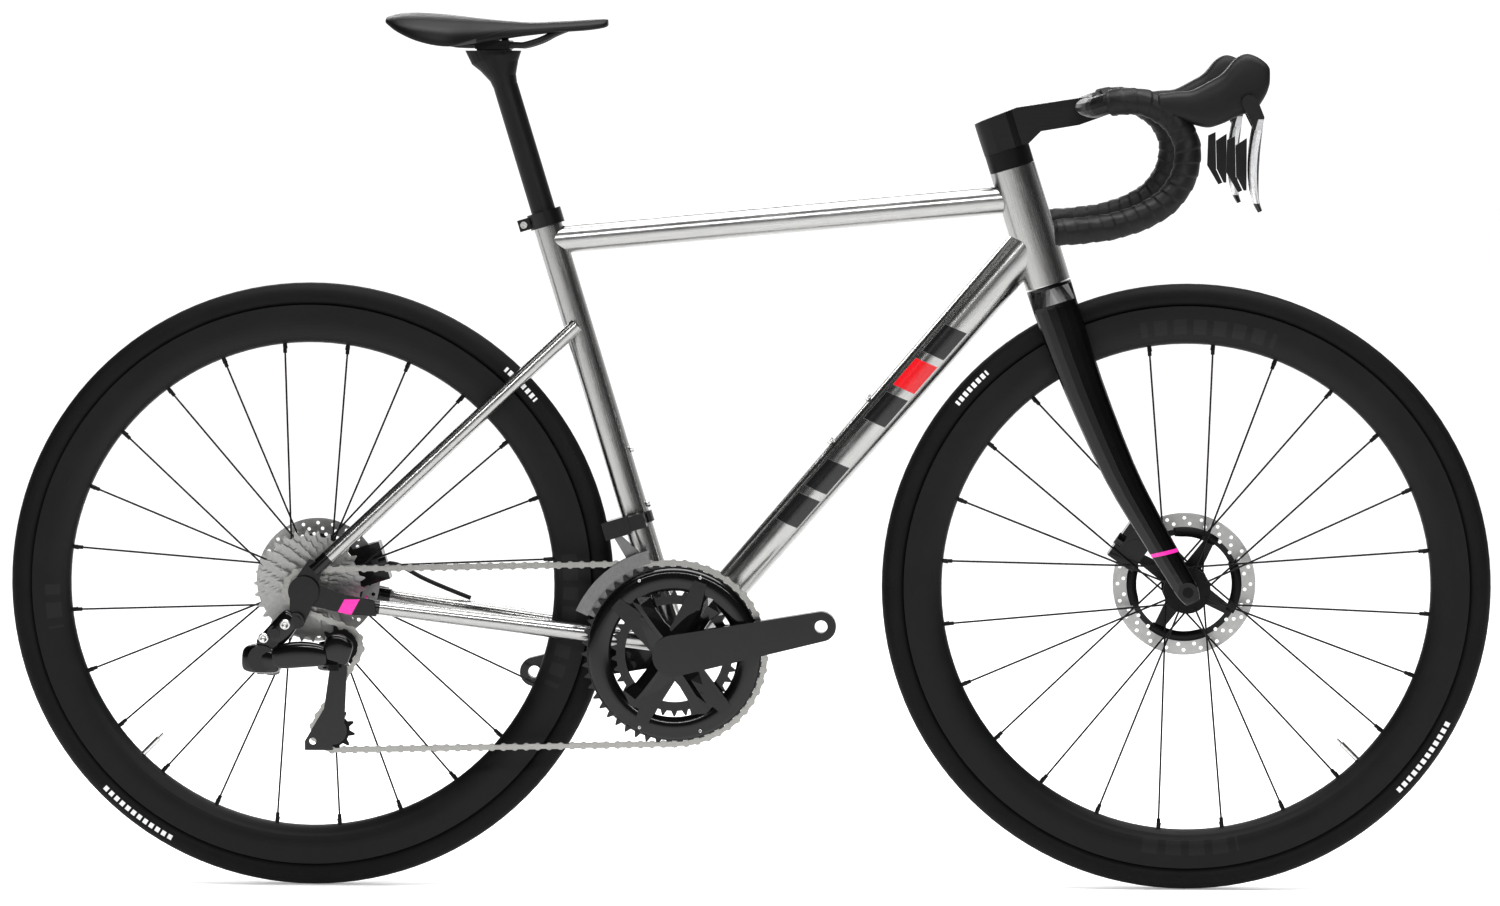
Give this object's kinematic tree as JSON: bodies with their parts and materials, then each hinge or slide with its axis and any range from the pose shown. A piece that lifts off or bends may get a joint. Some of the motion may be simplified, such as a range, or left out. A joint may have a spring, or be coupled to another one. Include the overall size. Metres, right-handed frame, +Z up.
{
  "type": "road bicycle",
  "caption": "Road bicycle with metal frame, black fork, drop bars, disc brakes, deep rims and electronic derailleurs; no pedals.",
  "frame": {"origin": "on the ground midway between the two axles", "axes": "+X forwards, +Y to the rider's left, +Z up"},
  "size_m": [1.656, 0.4392, 0.9789],
  "materials": {
    "brushed_frame": "satin brushed metal",
    "black_paint": "gloss black paint",
    "black_alloy": "black anodised",
    "bright_steel": "bright steel",
    "gloss_black": "gloss black",
    "hose_black": "matte",
    "matte_carbon": "matte carbon",
    "clamp_alloy": "black anodised",
    "saddle_cover": "matte cover",
    "tape": "soft bar tape",
    "plug": "moulded",
    "hood_rubber": "soft rubber",
    "tyre_rubber": "matte rubber",
    "spoke_black": "black",
    "rotor_steel": "ground steel",
    "valve_silver": "bright",
    "sprocket_silver": "nickel plated",
    "lever_grey": "gloss carbon lever",
    "button_grey": "satin grey",
    "cage_silver": "satin silver"
  },
  "bodies": {
    "frame": {"head_tube": "brushed_frame", "top_tube": "brushed_frame", "down_tube": "brushed_frame", "seat_tube": "brushed_frame", "bottom_bracket_shell": "brushed_frame", "chainstays": "brushed_frame", "seatstays": "brushed_frame", "dropouts": "black_paint", "bottom_bracket_cups": "black_alloy", "headset_bearings": "bright_steel", "seat_clamp": "black_alloy", "frame_bolts": "bright_steel", "derailleur_hanger": "black_paint", "rear_axle": "black_alloy", "rear_derailleur_body": "gloss_black", "front_derailleur_body": "gloss_black", "rear_caliper": "gloss_black", "rear_brake_hose": "hose_black", "chain": "bright_steel"},
    "seat": {"seatpost": "matte_carbon", "saddle_clamp": "clamp_alloy", "saddle_rails": "matte_carbon", "saddle": "saddle_cover"},
    "steering": {"fork": "black_paint", "front_axle": "black_alloy", "handlebar": "matte_carbon", "headset_cover": "black_alloy", "bar_tape": "tape", "bar_end_plugs": "plug", "brake_hoods": "hood_rubber", "front_caliper": "gloss_black"},
    "front_wheel": {"front_tyre": "tyre_rubber", "front_rim": "matte_carbon", "front_spokes": "spoke_black", "front_hub": "black_alloy", "front_rotor": "rotor_steel", "front_valve": "valve_silver"},
    "rear_wheel": {"rear_tyre": "tyre_rubber", "rear_rim": "matte_carbon", "rear_spokes": "spoke_black", "rear_hub": "black_alloy", "rear_rotor": "rotor_steel", "rear_valve": "valve_silver"},
    "freewheel": {"cassette": "sprocket_silver"},
    "crankset": {"right_crank": "gloss_black", "left_crank": "gloss_black", "outer_chainring": "gloss_black", "inner_chainring": "gloss_black"},
    "right_lever": {"right_brake_lever": "lever_grey"},
    "left_lever": {"left_brake_lever": "lever_grey"},
    "right_upshift": {"right_upshift_button": "button_grey"},
    "right_downshift": {"right_downshift_button": "button_grey"},
    "left_upshift": {"left_upshift_button": "button_grey"},
    "left_downshift": {"left_downshift_button": "button_grey"},
    "front_cage": {"front_derailleur_cage": "cage_silver"},
    "rear_link": {"rear_derailleur_link": "gloss_black"},
    "rear_knuckle": {"rear_derailleur_knuckle": "gloss_black"},
    "rear_cage": {"rear_derailleur_cage": "gloss_black"},
    "guide_wheel": {"guide_pulley": "plug"},
    "tension_wheel": {"tension_pulley": "plug"}
  },
  "joints": [
    {"name": "seat_height", "type": "slide", "parent": "frame", "child": "seat", "axis": [-0.2882, 0, 0.9576], "range_m": [-0.06, 0.02]},
    {"name": "steering_turn", "type": "hinge", "parent": "frame", "child": "steering", "pos_m": [0.3344, 0, 0.67732], "axis": [-0.2974, 0, 0.9548], "range_deg": [-60, 60]},
    {"name": "front_wheel_spin", "type": "hinge", "parent": "steering", "child": "front_wheel", "pos_m": [0.489, 0, 0.339], "axis": [0, 1, 0], "continuous": true},
    {"name": "rear_wheel_spin", "type": "hinge", "parent": "frame", "child": "rear_wheel", "pos_m": [-0.489, 0, 0.339], "axis": [0, 1, 0], "continuous": true},
    {"name": "crank_spin", "type": "hinge", "parent": "frame", "child": "crankset", "pos_m": [-0.08021, 0, 0.2675], "axis": [0, 1, 0], "continuous": true, "deforming": ["chain"]},
    {"name": "freewheel_spin", "type": "hinge", "parent": "frame", "child": "freewheel", "pos_m": [-0.489, 0, 0.339], "axis": [0, 1, 0], "continuous": true},
    {"name": "right_lever_pull", "type": "hinge", "parent": "steering", "child": "right_lever", "pos_m": [0.54378, -0.2, 0.88041], "axis": [0, 1, 0], "range_deg": [0, 20], "stiffness_Nm_per_rad": 0.8, "springref_deg": -14.32},
    {"name": "left_lever_pull", "type": "hinge", "parent": "steering", "child": "left_lever", "pos_m": [0.54378, 0.2, 0.88041], "axis": [0, 1, 0], "range_deg": [0, 20], "stiffness_Nm_per_rad": 0.8, "springref_deg": -14.32},
    {"name": "right_upshift_press", "type": "hinge", "parent": "right_lever", "child": "right_upshift", "pos_m": [0.54207, -0.2, 0.81401], "axis": [0, 0, -1], "range_deg": [0, 6], "stiffness_Nm_per_rad": 0.2, "springref_deg": -2.86},
    {"name": "right_downshift_press", "type": "hinge", "parent": "right_lever", "child": "right_downshift", "pos_m": [0.53007, -0.2, 0.81401], "axis": [0, 0, -1], "range_deg": [0, 6], "stiffness_Nm_per_rad": 0.2, "springref_deg": -2.86},
    {"name": "left_upshift_press", "type": "hinge", "parent": "left_lever", "child": "left_upshift", "pos_m": [0.54207, 0.2, 0.81401], "axis": [0, 0, 1], "range_deg": [0, 6], "stiffness_Nm_per_rad": 0.2, "springref_deg": -2.86},
    {"name": "left_downshift_press", "type": "hinge", "parent": "left_lever", "child": "left_downshift", "pos_m": [0.53007, 0.2, 0.81401], "axis": [0, 0, 1], "range_deg": [0, 6], "stiffness_Nm_per_rad": 0.2, "springref_deg": -2.86},
    {"name": "front_shift", "type": "slide", "parent": "frame", "child": "front_cage", "axis": [0, 1, 0], "range_m": [0, 0.007]},
    {"name": "rear_shift", "type": "hinge", "parent": "frame", "child": "rear_link", "pos_m": [-0.52606, -0.07377, 0.26145], "axis": [0, 0.515, 0.8572], "range_deg": [0, 40]},
    {"name": "knuckle_level", "type": "hinge", "parent": "rear_link", "child": "rear_knuckle", "pos_m": [-0.465, -0.083, 0.267], "axis": [0, 0.515, 0.8572], "range_deg": [-40, 0]},
    {"name": "cage_swing", "type": "hinge", "parent": "rear_knuckle", "child": "rear_cage", "pos_m": [-0.445, 0, 0.277], "axis": [0, 1, 0], "range_deg": [-12, 30], "stiffness_Nm_per_rad": 0.3},
    {"name": "guide_spin", "type": "hinge", "parent": "rear_cage", "child": "guide_wheel", "pos_m": [-0.45, 0, 0.276], "axis": [0, 1, 0], "continuous": true},
    {"name": "tension_spin", "type": "hinge", "parent": "rear_cage", "child": "tension_wheel", "pos_m": [-0.45928, 0, 0.18246], "axis": [0, 1, 0], "continuous": true}
  ],
  "couplings": [
    {"joint": "freewheel_spin", "follows": "crank_spin", "ratio": 4.5455},
    {"joint": "guide_spin", "follows": "crank_spin", "ratio": -4.5455},
    {"joint": "tension_spin", "follows": "crank_spin", "ratio": 4.5455},
    {"joint": "knuckle_level", "follows": "rear_shift", "ratio": -1}
  ]
}
